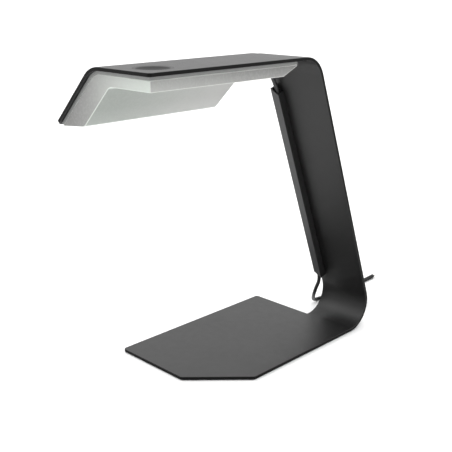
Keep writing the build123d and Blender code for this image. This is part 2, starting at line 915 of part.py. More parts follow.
def lead_coil():
    """Outer form of the neat coil that the spare length is wound into."""
    half = coil_turns_wide * lead_diameter / 2
    height = coil_turns_high * lead_diameter
    outer = rod(*coil_centre, 0, height, coil_radius + half)
    return outer - rod(*coil_centre, -1, height + 1, coil_radius - half)


def lead_tail():
    top_turn = (coil_turns_high - 0.5) * lead_diameter
    start = (coil_centre[0] - coil_radius, coil_centre[1], top_turn)
    return tube([start] + tail_route + [plug_start], lead_diameter)


def coil_tie():
    """Hook-and-loop strap round one side of the coil."""
    half = coil_turns_wide * lead_diameter / 2
    height = coil_turns_high * lead_diameter
    x = coil_centre[0] + coil_radius
    reach = half + tie_thickness
    strap = box(x - reach, x + reach, coil_centre[1] - tie_half_width,
                coil_centre[1] + tie_half_width, 0, height + tie_thickness)
    return strap - lead_coil()


def on_plug(solid):
    """A piece drawn along the plug, whose rear end is where the lead ends."""
    direction = Vector(*plug_start) - Vector(*tail_route[-1])
    return in_plane(Plane(origin=plug_start, z_dir=direction), solid)


def plug_strain_relief():
    cone = Cone(relief_start_radius, relief_end_radius, relief_length)
    return on_plug(Pos(0, 0, relief_length / 2) * cone)


def plug_body():
    middle = relief_length + plug_length / 2
    return on_plug(Pos(0, 0, middle) * Cylinder(plug_radius, plug_length))


def plug_barrel():
    start = relief_length + plug_length
    barrel = Pos(0, 0, start + barrel_length / 2) * Cylinder(barrel_radius, barrel_length)
    base = Cylinder(plug_radius - barrel_base_setback, barrel_base)
    barrel += Pos(0, 0, start + barrel_base / 2) * base
    bore = Pos(0, 0, start + barrel_base + barrel_length / 2) * Cylinder(barrel_bore, barrel_length)
    return on_plug(barrel - bore)


# ---- everything, in its own colour ----
black = (0.05, 0.05, 0.055)
grey = (0.55, 0.56, 0.55)
white = (0.9, 0.9, 0.88)
frosted = (0.82, 0.85, 0.82)
steel = (0.7, 0.71, 0.73)
green = (0.05, 0.3, 0.15)
yellow = (0.95, 0.85, 0.4)

os.makedirs("parts", exist_ok=True)
save(sheet_body(), "sheet_body", black)
save(foot_pads(), "foot_pads", grey)
save(diffuser(), "diffuser", frosted)
save(diffuser_frame(), "diffuser_frame", grey)
save(frame_studs(), "frame_studs", steel)
save(frame_nuts(), "frame_nuts", steel)
save(lead_grommet(), "lead_grommet", black)
save(button_cap(), "button_cap", black)
save(button_collar(), "button_collar", grey)
save(switch_plunger(), "switch_plunger", yellow)
save(switch_body(), "switch_body", black)
save(board_posts(), "board_posts", steel)
save(driver_board(), "driver_board", green)
save(board_screws(), "board_screws", steel)
save(power_inductor(), "power_inductor", grey)
save(input_capacitor(), "input_capacitor", black)
save(driver_chip(), "driver_chip", black)
save(terminal_block(), "terminal_block", green)
save(heat_spreader(), "heat_spreader", steel)
for index, board in enumerate(led_boards()):
    save(board, f"led_board_{index + 1}", white)
    save(leds(led_rows[index]), f"leds_{index + 1}", yellow)
save(led_screws(), "led_screws", steel)
save(led_wires(), "led_wires", yellow)
save(reflector(), "reflector", white)
save(duct_cover(), "duct_cover", black)
save(duct_base(), "duct_base", grey)
save(duct_screws(), "duct_screws", steel)
save(duct_gland(), "duct_gland", black)
save(riser_lead(), "riser_lead", black)
save(power_lead(), "power_lead", black)
save(lead_coil(), "lead_coil", black)
save(lead_tail(), "lead_tail", black)
save(coil_tie(), "coil_tie", grey)
save(plug_strain_relief(), "plug_strain_relief", black)
save(plug_body(), "plug_body", black)
save(plug_barrel(), "plug_barrel", steel)
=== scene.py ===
import json
import math

import bmesh
import bpy
from mathutils import Matrix, Vector

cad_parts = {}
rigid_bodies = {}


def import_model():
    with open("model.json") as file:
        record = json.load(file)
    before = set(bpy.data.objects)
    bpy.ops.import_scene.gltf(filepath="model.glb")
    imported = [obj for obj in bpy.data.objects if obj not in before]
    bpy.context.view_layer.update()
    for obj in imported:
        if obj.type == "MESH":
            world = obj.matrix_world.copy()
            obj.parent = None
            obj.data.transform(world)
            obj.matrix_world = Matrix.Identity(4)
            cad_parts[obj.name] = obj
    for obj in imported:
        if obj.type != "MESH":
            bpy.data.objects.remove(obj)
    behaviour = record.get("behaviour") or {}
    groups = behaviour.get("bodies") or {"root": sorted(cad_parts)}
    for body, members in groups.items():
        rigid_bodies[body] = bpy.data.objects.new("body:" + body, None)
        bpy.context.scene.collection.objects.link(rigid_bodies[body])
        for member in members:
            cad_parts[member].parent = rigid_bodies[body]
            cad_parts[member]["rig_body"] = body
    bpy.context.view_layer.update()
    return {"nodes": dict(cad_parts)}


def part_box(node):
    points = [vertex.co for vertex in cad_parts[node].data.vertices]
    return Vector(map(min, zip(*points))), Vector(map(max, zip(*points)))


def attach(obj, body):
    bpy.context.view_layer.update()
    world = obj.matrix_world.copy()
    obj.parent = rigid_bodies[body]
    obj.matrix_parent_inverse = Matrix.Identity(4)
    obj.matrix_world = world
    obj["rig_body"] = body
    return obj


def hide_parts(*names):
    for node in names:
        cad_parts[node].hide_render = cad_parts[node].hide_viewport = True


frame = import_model()
nodes = frame["nodes"]

MM = 0.001


# ---- materials ----
class Value:
    """A node's output. Plain arithmetic on it adds Math nodes."""

    def __init__(self, finish, socket):
        self.finish = finish
        self.socket = socket

    def maths(self, operation, first, second):
        return self.finish.node("ShaderNodeMath", {"operation": operation}, [first, second])

    def __add__(self, other):
        return self.maths("ADD", self, other)

    def __radd__(self, other):
        return self.maths("ADD", other, self)

    def __sub__(self, other):
        return self.maths("SUBTRACT", self, other)

    def __rsub__(self, other):
        return self.maths("SUBTRACT", other, self)

    def __mul__(self, other):
        return self.maths("MULTIPLY", self, other)

    def __rmul__(self, other):
        return self.maths("MULTIPLY", other, self)

    def __truediv__(self, other):
        return self.maths("DIVIDE", self, other)

    def __pow__(self, other):
        return self.maths("POWER", self, other)

    def __gt__(self, other):
        return self.maths("GREATER_THAN", self, other)

    def __lt__(self, other):
        return self.maths("LESS_THAN", self, other)

    def __mod__(self, other):
        return self.maths("FLOORED_MODULO", self, other)


class Finish:
    """A material, or the studio's world, built from nodes, one method call for each."""

    def __init__(self, name, kind="materials", place="Object"):
        self.material = getattr(bpy.data, kind).new(name)
        self.material.use_nodes = True
        self.tree = self.material.node_tree
        self.tree.nodes.clear()
        self.place = self.node("ShaderNodeTexCoord", {}, [], place)

    def node(self, kind, settings, values, output=0):
        """Add a node: its settings first, then its sockets, by name or in order."""
        made = self.tree.nodes.new(kind)
        for key, value in settings.items():
            if key == "stops":
                self.set_stops(made.color_ramp, value)
            else:
                setattr(made, key, value)
        pairs = values.items() if isinstance(values, dict) else enumerate(values)
        for key, value in pairs:
            if isinstance(value, Value):
                self.tree.links.new(value.socket, made.inputs[key])
            else:
                made.inputs[key].default_value = value
        return Value(self, made.outputs[output] if made.outputs else None)

    @staticmethod
    def set_stops(ramp, stops):
        while len(ramp.elements) < len(stops):
            ramp.elements.new(0.5)
        for element, (position, shade) in zip(ramp.elements, stops):
            element.position = position
            element.color = (*shade, 1.0) if hasattr(shade, "__len__") else (shade,) * 3 + (1.0,)

    def noise(self, size, detail=2.0, stretch=(1, 1, 1), seed=0.0):
        """Soft noise whose features are about size metres, longer along an axis with a small stretch."""
        place = self.node("ShaderNodeMapping", {}, {"Vector": self.place, "Scale": stretch,
                                                    "Location": (seed, seed, seed)})
        return self.node("ShaderNodeTexNoise", {}, {"Vector": place, "Scale": 1 / size,
                                                    "Detail": detail})

    def split(self, vector):
        """A vector's three parts as values."""
        parts = self.node("ShaderNodeSeparateXYZ", {}, [vector])
        return [Value(self, part) for part in parts.socket.node.outputs]

    def axes(self):
        """The place on the piece, or the direction in the studio, as three values."""
        return self.split(self.place)

    def facing(self):
        """The surface's own normal as three values."""
        return self.split(self.node("ShaderNodeNewGeometry", {}, [], "Normal"))

    def between(self, factor, low, high):
        """A number that goes from low to high as factor goes from 0 to 1."""
        return factor * (high - low) + low

    def rise(self, value, start, stop):
        """A smooth 0 to 1 as value goes from start to stop."""
        return self.node("ShaderNodeMapRange", {"interpolation_type": "SMOOTHSTEP"},
                         [value, start, stop, 0.0, 1.0])

    def drop(self, value, start, stop):
        """A smooth 0 to 1 as value falls from start to stop."""
        return self.rise(0 - value, -start, -stop)

    def ramp(self, factor, stops):
        return self.node("ShaderNodeValToRGB", {"stops": stops}, [factor])

    def mix(self, factor, first, second):
        """Mix two colours."""
        made = self.tree.nodes.new("ShaderNodeMix")
        made.data_type = "RGBA"
        for index, value in ((0, factor), (6, first), (7, second)):
            if isinstance(value, Value):
                self.tree.links.new(value.socket, made.inputs[index])
            else:
                made.inputs[index].default_value = value if index == 0 else (*value, 1.0)
        return Value(self, made.outputs[2])

    def bump(self, height, depth):
        """Relief whose full height is depth metres."""
        return self.node("ShaderNodeBump", {}, {"Height": height, "Distance": depth, "Strength": 1.0})

    def surface(self, **sockets):
        """Close the material with a Principled surface; names use _ for spaces."""
        values = {name.replace("_", " "): value for name, value in sockets.items()}
        colour = values.get("Base Color")
        if isinstance(colour, tuple):
            values["Base Color"] = (*colour, 1.0)
        shader = self.node("ShaderNodeBsdfPrincipled", {}, values)
        self.node("ShaderNodeOutputMaterial", {}, [shader])
        return self.material


def powder_coat(name, low, high, roughness, gloss=0.45):
    """Fine-textured black powder coat, a little uneven and very slightly dusty."""
    f = Finish(name)
    cloud = f.noise(60 * MM, 3)
    grain = f.noise(1.1 * MM, 2)
    fleck = f.noise(0.5 * MM, 1, seed=3)
    rub = f.noise(9 * MM, 4, seed=7)
    shade = f.ramp(cloud * 0.7 + grain * 0.3, [(0.3, low), (0.7, high)])
    rough = f.between(cloud, roughness - 0.04, roughness + 0.04) + (rub - 0.5) * 0.08
    relief = f.bump(grain + fleck * 0.5, 0.05 * MM)
    return f.surface(Base_Color=shade, Roughness=rough, Normal=relief, Specular_IOR_Level=gloss)


DISH_SHADE_STARTS = 0.2 * MM
DISH_SHADE_ENDS = 0.7 * MM


def dished_button():
    """The coat's own look on the button's rim, matt towards the middle of its dish, where painted shade
    darkens it.
    """
    f = Finish("button_black")
    z = f.axes()[2]
    grain = f.noise(0.6 * MM, 3)
    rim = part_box("button_cap")[1].z
    deep = f.rise(rim - z, DISH_SHADE_STARTS, DISH_SHADE_ENDS)
    # Painted shade: the dish darkens towards its middle.
    shade = f.mix(deep, (0.005, 0.005, 0.0052), (0.002, 0.002, 0.002))
    rough = f.between(deep, 0.46, 0.66) + (grain - 0.5) * 0.06
    return f.surface(Base_Color=shade, Roughness=rough, Normal=f.bump(grain, 0.03 * MM),
                     Specular_IOR_Level=0.25)


# The frosted tray's tones: painted shade, a painted highlight line and a faint green tint. Places are in
# metres in the lamp's frame, as (start, stop).
RIM_HEIGHT = 3.5 * MM
TRAY_DEPTH = 12.0 * MM
TOWARDS_BACK = (-0.19, 0.03)
AWAY_FROM_FOLD = (-0.055, 0.085)
TOWARDS_TABLE = (0.338, 0.318)
PAINTED_HIGHLIGHT_LINE = (1.6 * MM, 0.9 * MM)
# How far a face has to turn for its painted shade and tint, as parts of its normal.
ON_FLANK = (0.75, 0.95)
ON_FRONT = (-0.60, -0.95)
ON_UNDERSIDE = (0.45, 0.65)
# How much painted shade darkens a face there, or painted light lightens it, as shares of the plastic's
# own brightness.
FLANK_PAINTED_SHADE = 0.36
FLANK_BACK_PAINTED_SHADE = 0.24
FRONT_PAINTED_SHADE = 0.64
UNDERSIDE_PAINTED_SHADE = 0.40
UNDERSIDE_BACK_LESS_SHADE = 0.20
UNDERSIDE_LOW_LESS_SHADE = 0.10
HIGHLIGHT_LINE_LIGHTER = 0.13
FLANK_LOW_PAINTED_LIGHT = 0.12
FLANK_ALL_PAINTED_SHADE = 0.05
GREEN_LOST_ON_FLANK = 0.8
GLASS_GREEN = (0.560, 0.600, 0.560)
PLAIN_MILK = (0.605, 0.605, 0.590)
DOT_COLOUR = (0.60, 0.62, 0.60)
DOT_SHARE = 0.06


def frosted_plastic(name, brightness, is_highlight_edge=False):
    """Milky acrylic with a blasted face, faintly green towards the front, with painted shade on its
    flank, on its front near the fold and on its underside.

    A painted highlight line runs along its flank's top, below the rim, and the flank is painted lighter
    lower down.
    """
    f = Finish(name)
    x, y, z = f.axes()
    across, along, up = f.facing()
    cloud = f.noise(28 * MM, 3)
    blast = f.noise(0.9 * MM, 2, seed=2)
    dots = f.noise(2.4 * MM, 0, seed=5)
    back = f.rise(y, *TOWARDS_BACK)
    flank = f.rise(across, *ON_FLANK)
    front = f.drop(along, *ON_FRONT)
    near_fold = 1 - f.rise(x, *AWAY_FROM_FOLD)
    turned_down = f.drop(up, -ON_UNDERSIDE[0], -ON_UNDERSIDE[1])
    under = f.rise(across, *ON_UNDERSIDE) * turned_down
    low = f.drop(z, *TOWARDS_TABLE)
    # Painted shade: the flank is darkened, more towards the back, the front near the fold too, and the
    # underside, less so at the back and low down.
    level = 1 - flank * (FLANK_PAINTED_SHADE + back * FLANK_BACK_PAINTED_SHADE) - front * near_fold * FRONT_PAINTED_SHADE
    under_shade_eased_at_back = back * UNDERSIDE_BACK_LESS_SHADE
    level = level - under * (UNDERSIDE_PAINTED_SHADE - under_shade_eased_at_back - low * UNDERSIDE_LOW_LESS_SHADE)
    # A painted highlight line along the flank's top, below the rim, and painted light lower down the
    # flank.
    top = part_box("diffuser_frame")[1].z - RIM_HEIGHT
    line = f.rise(z, top - PAINTED_HIGHLIGHT_LINE[0], top - PAINTED_HIGHLIGHT_LINE[1])
    falling = f.drop(z, top, top - TRAY_DEPTH)
    level = level + flank * (line * HIGHLIGHT_LINE_LIGHTER + falling * FLANK_LOW_PAINTED_LIGHT - FLANK_ALL_PAINTED_SHADE)
    # The edges skip the painted shade and are painted evenly bright, a painted highlight.
    if is_highlight_edge:
        level = f.between(cloud, 0.98, 1.02)
    level = level * f.between(cloud, 0.95, 1.03) * brightness
    # The green tint fades on the flank, towards the back and on the front near the fold, along with the
    # painted shade.
    green = (1 - back) * (1 - flank * GREEN_LOST_ON_FLANK) * (1 - front * near_fold)
    tint = f.mix(green, PLAIN_MILK, GLASS_GREEN)
    shade = f.node("ShaderNodeVectorMath", {"operation": "SCALE"}, {0: tint, "Scale": level})
    shade = f.mix((dots > 0.56) * DOT_SHARE, shade, DOT_COLOUR)
    rough = f.between(blast, 0.40, 0.56)
    relief = f.bump(blast, 0.04 * MM)
    return f.surface(Base_Color=shade, Roughness=rough, Normal=relief, IOR=1.49,
                     Subsurface_Weight=0.3, Subsurface_Radius=(1.0, 1.0, 0.9),
                     Subsurface_Scale=0.003)


def moulded(name, colour, roughness, grain_size=0.6 * MM, depth=0.03 * MM, variation=0.12):
    """Moulded plastic or rubber with a fine spark-eroded grain."""
    f = Finish(name)
    grain = f.noise(grain_size, 3)
    cloud = f.noise(18 * MM, 2, seed=4)
    darker = tuple(c * (1 - variation) for c in colour)
    lighter = tuple(min(1.0, c * (1 + variation)) for c in colour)
    shade = f.mix(cloud, darker, lighter)
    rough = f.between(grain, roughness - 0.06, roughness + 0.06)
    return f.surface(Base_Color=shade, Roughness=rough, Normal=f.bump(grain, depth),
                     Specular_IOR_Level=0.4)


def extruded(name, colour, roughness, along):
    """Extruded plastic with faint die lines along its length, rougher on its flank, where painted shade
    darkens it.
    """
    f = Finish(name)
    flank = f.rise(f.facing()[0], 0.7, 0.95)
    lines = f.noise(0.5 * MM, 2, stretch=along)
    cloud = f.noise(22 * MM, 2, seed=1)
    shade = f.mix(cloud, tuple(c * 0.85 for c in colour), tuple(c * 1.2 for c in colour))
    # Painted shade: the flank is darkened.
    shade = f.mix(flank, shade, tuple(c * 0.12 for c in colour))
    rough = f.between(lines, roughness - 0.07, roughness + 0.07) + flank * 0.25
    return f.surface(Base_Color=shade, Roughness=rough, Normal=f.bump(lines, 0.03 * MM))


def metal(name, colour, roughness, stretch=(1, 1, 1)):
    """Plated or bare metal with a drawn or tumbled surface."""
    f = Finish(name)
    scratch = f.noise(0.4 * MM, 3, stretch=stretch)
    cloud = f.noise(7 * MM, 2, seed=6)
    shade = f.mix(cloud, tuple(c * 0.88 for c in colour), colour)
    rough = f.between(scratch, roughness - 0.08, roughness + 0.08)
    return f.surface(Base_Color=shade, Roughness=rough, Metallic=1.0,
                     Normal=f.bump(scratch, 0.015 * MM))


def circuit_board(name, mask, copper):
    """Solder mask over tracks on a square grid, with plated pads."""
    f = Finish(name)
    x, y = f.axes()[:2]
    wander = f.noise(14 * MM, 0, seed=8) * 0.02
    track = 0.7 * MM
    tracks = ((x + wander) % (2.5 * MM)) < track
    crossing = ((y + wander) % (5.0 * MM)) < track
    shade = f.mix(tracks * 0.6 + crossing * 0.4, mask, copper)
    return f.surface(Base_Color=shade, Roughness=0.32 + 0.1 * f.noise(2 * MM, 2),
                     Normal=f.bump(tracks, 0.02 * MM), Coat_Roughness=0.2)


def webbing():
    """Woven hook-and-loop tape."""
    f = Finish("woven_tie")
    y = f.axes()[1]
    thread = 0.8 * MM
    pile = f.noise(0.35 * MM, 3)
    warp = ((y % thread) / thread - 0.5) ** 2 * 4
    stops = [(0.25, (0.015, 0.015, 0.016)), (0.8, (0.07, 0.07, 0.072))]
    shade = f.ramp(pile * 0.6 + warp * 0.4, stops)
    return f.surface(Base_Color=shade, Roughness=0.85, Sheen_Weight=0.4,
                     Normal=f.bump(pile + warp * 0.5, 0.12 * MM))


def lead_rubber():
    """Satin PVC lead: fine lengthwise sheen and small scuffs."""
    f = Finish("lead_sheath")
    scuff = f.noise(3 * MM, 4)
    grain = f.noise(0.4 * MM, 2, seed=2)
    shade = f.ramp(scuff, [(0.35, (0.012, 0.012, 0.013)), (0.75, (0.03, 0.03, 0.031))])
    return f.surface(Base_Color=shade, Roughness=f.between(scuff, 0.38, 0.52),
                     Normal=f.bump(grain, 0.02 * MM))


coat = powder_coat("black_powder_coat", 0.003, 0.007, 0.46)
coat_edge = powder_coat("powder_coat_edge", 0.004, 0.008, 0.45)
# The sheet's cut sides: painted shade darkens them, and they are also rougher and less glossy.
coat_cut_side_shade = powder_coat("powder_coat_cut_side_shade", 0.002, 0.004, 0.6, 0.12)
acrylic = frosted_plastic("frosted_acrylic", 0.92)
# The tray's edges, painted brighter and unshaded as a painted highlight.
acrylic_highlight_edge = frosted_plastic("frosted_edge_painted_highlight", 1.02, is_highlight_edge=True)
rim_plastic = moulded("rim_grey", (0.23, 0.235, 0.23), 0.45)
button_plastic = dished_button()
duct_plastic = extruded("duct_black", (0.040, 0.040, 0.041), 0.42, (1, 0.03, 0.03))
foot_rubber = moulded("foot_rubber", (0.10, 0.10, 0.10), 0.8, 1.2 * MM, 0.08 * MM)
soft_rubber = moulded("bush_rubber", (0.025, 0.025, 0.026), 0.62)
zinc = metal("zinc_plate", (0.66, 0.67, 0.68), 0.34)
aluminium = metal("mill_aluminium", (0.78, 0.79, 0.80), 0.38, (1, 0.04, 1))
nickel = metal("nickel_plate", (0.74, 0.72, 0.68), 0.2)
green_board = circuit_board("driver_board_green", (0.01, 0.13, 0.05), (0.05, 0.24, 0.10))
white_board = circuit_board("led_board_white", (0.82, 0.82, 0.80), (0.70, 0.70, 0.67))
white_film = moulded("reflector_film", (0.86, 0.86, 0.84), 0.6, 0.3 * MM, 0.01 * MM, 0.03)
part_black = moulded("component_black", (0.03, 0.03, 0.03), 0.5)
part_green = moulded("terminal_green", (0.06, 0.30, 0.12), 0.45)
amber = moulded("plunger_amber", (0.60, 0.32, 0.06), 0.4)
phosphor = moulded("led_phosphor", (0.90, 0.70, 0.18), 0.35, 0.2 * MM, 0.01 * MM, 0.06)
wire_red = moulded("wire_jacket", (0.45, 0.04, 0.03), 0.4)
plug_plastic = moulded("plug_black", (0.005, 0.005, 0.0055), 0.6)
led_ceramic = moulded("led_package", (0.80, 0.80, 0.77), 0.4, 0.2 * MM, 0.01 * MM, 0.04)
sheath = lead_rubber()
tie_web = webbing()

finishes = {
    "sheet_body": coat, "foot_pads": foot_rubber, "diffuser": acrylic,
    "diffuser_frame": rim_plastic, "frame_studs": zinc, "frame_nuts": zinc,
    "lead_grommet": soft_rubber, "button_cap": button_plastic, "button_collar": rim_plastic,
    "switch_plunger": amber, "switch_body": part_black, "board_posts": zinc,
    "driver_board": green_board, "board_screws": zinc, "power_inductor": part_black,
    "input_capacitor": part_black, "driver_chip": part_black, "terminal_block": part_green,
    "heat_spreader": aluminium, "led_board_1": white_board, "led_board_2": white_board,
    "leds_1": phosphor, "leds_2": phosphor, "led_screws": zinc, "led_wires": wire_red,
    "reflector": white_film, "duct_cover": duct_plastic, "duct_base": duct_plastic,
    "duct_screws": zinc, "duct_gland": soft_rubber, "riser_lead": sheath,
    "power_lead": sheath, "lead_coil": sheath, "lead_tail": sheath, "coil_tie": tie_web,
    "plug_strain_relief": plug_plastic, "plug_body": plug_plastic, "plug_barrel": nickel,
}
for node_name, finish in finishes.items():
    node_mesh = nodes[node_name].data
    node_mesh.materials.clear()
    node_mesh.materials.append(finish)


# ---- shapes ----
def add_piece(name, mesh, body, node):
    """Put a finished mesh in the scene, in place of a CAD node."""
    piece = bpy.data.objects.new(name, mesh)
    bpy.context.scene.collection.objects.link(piece)
    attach(piece, body)
    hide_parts(node)


def baked(scratch):
    """The evaluated mesh of a scratch object, which is then removed."""
    evaluated = scratch.evaluated_get(bpy.context.evaluated_depsgraph_get())
    mesh = bpy.data.meshes.new_from_object(evaluated)
    bpy.data.objects.remove(scratch)
    return mesh


MERGE_WITHIN = 0.002 * MM
FLAT_WITHIN = math.radians(0.6)
SHARP_ABOVE = math.radians(38)


def softened(name, node, width, edge_finish=None, side_finish=None, is_side=None):
    """A copy of a CAD piece with its sharp edges rounded, which replaces it.

    The faces that is_side picks take a finish of their own.
    """
    mesh = nodes[node].data.copy()
    form = bmesh.new()
    form.from_mesh(mesh)
    bmesh.ops.remove_doubles(form, verts=form.verts, dist=MERGE_WITHIN)
    bmesh.ops.dissolve_limit(form, angle_limit=FLAT_WITHIN, verts=form.verts, edges=form.edges)
    form.normal_update()
    mesh.materials.clear()
    for finish in (finishes[node], edge_finish, side_finish):
        if finish:
            mesh.materials.append(finish)
    for face in form.faces:
        face.smooth = True
        face.material_index = 2 if is_side and is_side(face) else 0
    form.to_mesh(mesh)
    form.free()
    for layer in ("custom_normal", "sharp_edge", "sharp_face"):
        if layer in mesh.attributes:
            mesh.attributes.remove(mesh.attributes[layer])
    scratch = bpy.data.objects.new("scratch", mesh)
    bpy.context.scene.collection.objects.link(scratch)
    bevel = scratch.modifiers.new("edges", "BEVEL")
    bevel.width = width
    bevel.segments = 2
    bevel.limit_method = "ANGLE"
    bevel.angle_limit = SHARP_ABOVE
    bevel.use_clamp_overlap = False
    bevel.miter_outer = "MITER_ARC"
    if edge_finish:
        bevel.material = 1
    weighted = scratch.modifiers.new("normals", "WEIGHTED_NORMAL")
    weighted.keep_sharp = True
    add_piece(name, baked(scratch), nodes[node]["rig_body"], node)


def lathe(name, start, direction, profile, finish, sides=40):
    """A round closed mesh along a direction, from pairs of distance and radius."""
    form = bmesh.new()
    turn = direction.to_track_quat("Z", "Y")
    rings = []
    for along, radius in profile:
        ring = []
        for i in range(sides):
            angle = 2 * math.pi * i / sides
            local = Vector((radius * math.cos(angle), radius * math.sin(angle), along))
            ring.append(form.verts.new(start + turn @ local))
        rings.append(ring)
    for lower, upper in zip(rings, rings[1:]):
        for i in range(sides):
            after = (i + 1) % sides
            form.faces.new((lower[i], lower[after], upper[after], upper[i]))
    form.faces.new(rings[0][::-1])
    form.faces.new(rings[-1])
    for face in form.faces:
        face.smooth = len(face.verts) == 4
    mesh = bpy.data.meshes.new(name)
    form.to_mesh(mesh)
    form.free()
    mesh.materials.append(finish)
    return mesh


class Tree:
    """A geometry tree with named inputs."""

    def __init__(self, name, inputs):
        self.tree = bpy.data.node_groups.new(name, "GeometryNodeTree")
        sockets = self.tree.interface
        sockets.new_socket("Geometry", in_out="INPUT", socket_type="NodeSocketGeometry")
        self.keys = {}
        for label, kind in inputs.items():
            made = sockets.new_socket(label, in_out="INPUT", socket_type="NodeSocket" + kind)
            self.keys[label] = made.identifier
        sockets.new_socket("Geometry", in_out="OUTPUT", socket_type="NodeSocketGeometry")
        self.start = self.tree.nodes.new("NodeGroupInput")

    def node(self, kind, settings, values, output=0):
        made = self.tree.nodes.new(kind)
        for key, value in settings.items():
            setattr(made, key, value)
        for key, value in values.items():
            if isinstance(value, bpy.types.NodeSocket):
                self.tree.links.new(value, made.inputs[key])
            else:
                made.inputs[key].default_value = value
        return made.outputs[output]

    def close(self, geometry, finish):
        """Make the instances real, give them their finish and end the tree."""
        real = self.node("GeometryNodeRealizeInstances", {}, {"Geometry": geometry})
        coated = self.node("GeometryNodeSetMaterial", {}, {"Geometry": real, "Material": finish})
        end = self.tree.nodes.new("NodeGroupOutput")
        self.tree.links.new(coated, end.inputs[0])


def row_tree(finish):
    """Copies of the mesh that the modifier stands on, in a straight row."""
    t = Tree("row_of_pieces", {"Count": "Int", "Step": "Vector"})
    line = t.node("GeometryNodeMeshLine", {"mode": "OFFSET"},
                  {"Count": t.start.outputs["Count"], "Offset": t.start.outputs["Step"]})
    row = t.node("GeometryNodeInstanceOnPoints", {},
                 {"Points": line, "Instance": t.start.outputs["Geometry"]})
    t.close(row, finish)
    return t


def row_of(mesh, count, step, finish):
    """The mesh of a straight row of copies, the first where the given mesh stands."""
    t = row_tree(finish)
    scratch = bpy.data.objects.new("scratch", mesh)
    bpy.context.scene.collection.objects.link(scratch)
    repeat = scratch.modifiers.new("row", "NODES")
    repeat.node_group = t.tree
    repeat[t.keys["Count"]] = count
    repeat[t.keys["Step"]] = tuple(step)
    return baked(scratch)


def joined(name, meshes):
    """One mesh out of several, each with its own finish."""
    form = bmesh.new()
    finished = []
    for mesh in meshes:
        before = len(form.faces)
        form.from_mesh(mesh)
        form.faces.ensure_lookup_table()
        for face in form.faces[before:]:
            face.material_index += len(finished)
        finished += list(mesh.materials)
    result = bpy.data.meshes.new(name)
    form.to_mesh(result)
    form.free()
    for finish in finished:
        result.materials.append(finish)
    return result


# ---- camera ----
LOOKS_DOWN = 17.167
TURNED = 44.718
camera_data = bpy.data.cameras.new("camera")
camera_data.lens = 62.876
camera_data.sensor_width = 36.0
camera = bpy.data.objects.new("camera", camera_data)
camera.location = (0.66978, -0.67741, 0.46322)
camera.rotation_euler = (math.radians(90 - LOOKS_DOWN), 0, math.radians(TURNED))
bpy.context.scene.collection.objects.link(camera)
bpy.context.scene.camera = camera


# ---- the free lead ----
LEAD = 5.2 * MM
COIL_TURNS = 8
COIL_WIDE = 2
coil_low, coil_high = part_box("lead_coil")
coil_middle = (coil_low + coil_high) / 2
coil_radius = (coil_high.x - coil_low.x) / 2 - COIL_WIDE * LEAD / 2

lead_out = [
    (0.01435, 0.17523, 0.06002),
    (0.01336, 0.17777, 0.05039),
    (0.0103, 0.1754, 0.0410),
    (0.0060, 0.1755, 0.0285),
    (-0.0045, 0.1875, 0.0155),
    (-0.0140, 0.2010, 0.0058),
    (-0.0160, 0.2140, 0.0026),
    (-0.0155, 0.2290, 0.0026),
]
lead_on = [
    (-0.0155, 0.2500, 0.0234),
    (-0.0142, 0.2590, 0.0222),
    (-0.0130, 0.2680, 0.0172),
    (-0.0122, 0.2780, 0.0104),
    (-0.0113, 0.2895, 0.0048),
    (-0.0102, 0.3040, 0.0026),
    (-0.0106, 0.3200, 0.0030),
]


def coil_cells():
    """The turns' places, (across, up): level by level outwards and inwards, the last one on top."""
    cells = []
    for level in range(COIL_TURNS // COIL_WIDE):
        row = [(place, level) for place in range(COIL_WIDE)]
        cells += row[::-1] if level % 2 == 0 else row
    return cells + [(cells[-1][0], cells[-1][1] + 1)]


def coil_turns():
    """The coil's points.

    A turn steps to its next place only after the turn above has left it, so no two touch.
    """
    points_each = 24
    step = 40
    whole = 360 * COIL_TURNS
    cells = coil_cells()
    keys = [(0, cells[0])]
    for turn in range(COIL_TURNS):
        leave = (360 - step) * (turn + 1)
        keys += [(leave, cells[turn]), (leave + step, cells[turn + 1])]
    keys.append((whole, cells[-1]))
    points = []
    for i in range(COIL_TURNS * points_each + 1):
        turned = 360 * i / points_each
        after = next(j for j in range(1, len(keys)) if keys[j][0] >= turned)
        (a0, (r0, l0)), (a1, (r1, l1)) = keys[after - 1], keys[after]
        share = (turned - a0) / max(a1 - a0, 1e-6)
        share = share * share * (3 - 2 * share)
        radius = coil_radius + LEAD * (r0 + (r1 - r0) * share - (COIL_WIDE - 1) / 2)
        height = LEAD * (l0 + (l1 - l0) * share + 0.5)
        angle = math.radians(180 - turned)
        points.append((coil_middle.x + radius * math.cos(angle),
                       coil_middle.y + radius * math.sin(angle), height))
    return points


def make_lead():
    """The lead from the channel to the plug, coil included, as one cord."""
    curve = bpy.data.curves.new("supply_lead", "CURVE")
    curve.dimensions = "3D"
    curve.bevel_depth = LEAD / 2
    curve.bevel_resolution = 4
    curve.resolution_u = 4
    curve.use_fill_caps = True
    route = lead_out + coil_turns() + lead_on
    spline = curve.splines.new("NURBS")
    spline.points.add(len(route) - 1)
    for point, place in zip(spline.points, route):
        point.co = (*place, 1.0)
    spline.order_u = 3
    spline.use_endpoint_u = True
    curve.materials.append(sheath)
    piece = bpy.data.objects.new("supply_lead", curve)
    bpy.context.scene.collection.objects.link(piece)
    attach(piece, "lamp")
    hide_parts("power_lead", "lead_coil", "lead_tail")
    return piece


lead = make_lead()


# ---- the plug and the strap ----
plug_start = Vector(lead_on[-1])
plug_way = (plug_start - Vector(lead_on[-2])).normalized()
RELIEF_LENGTH = 8 * MM


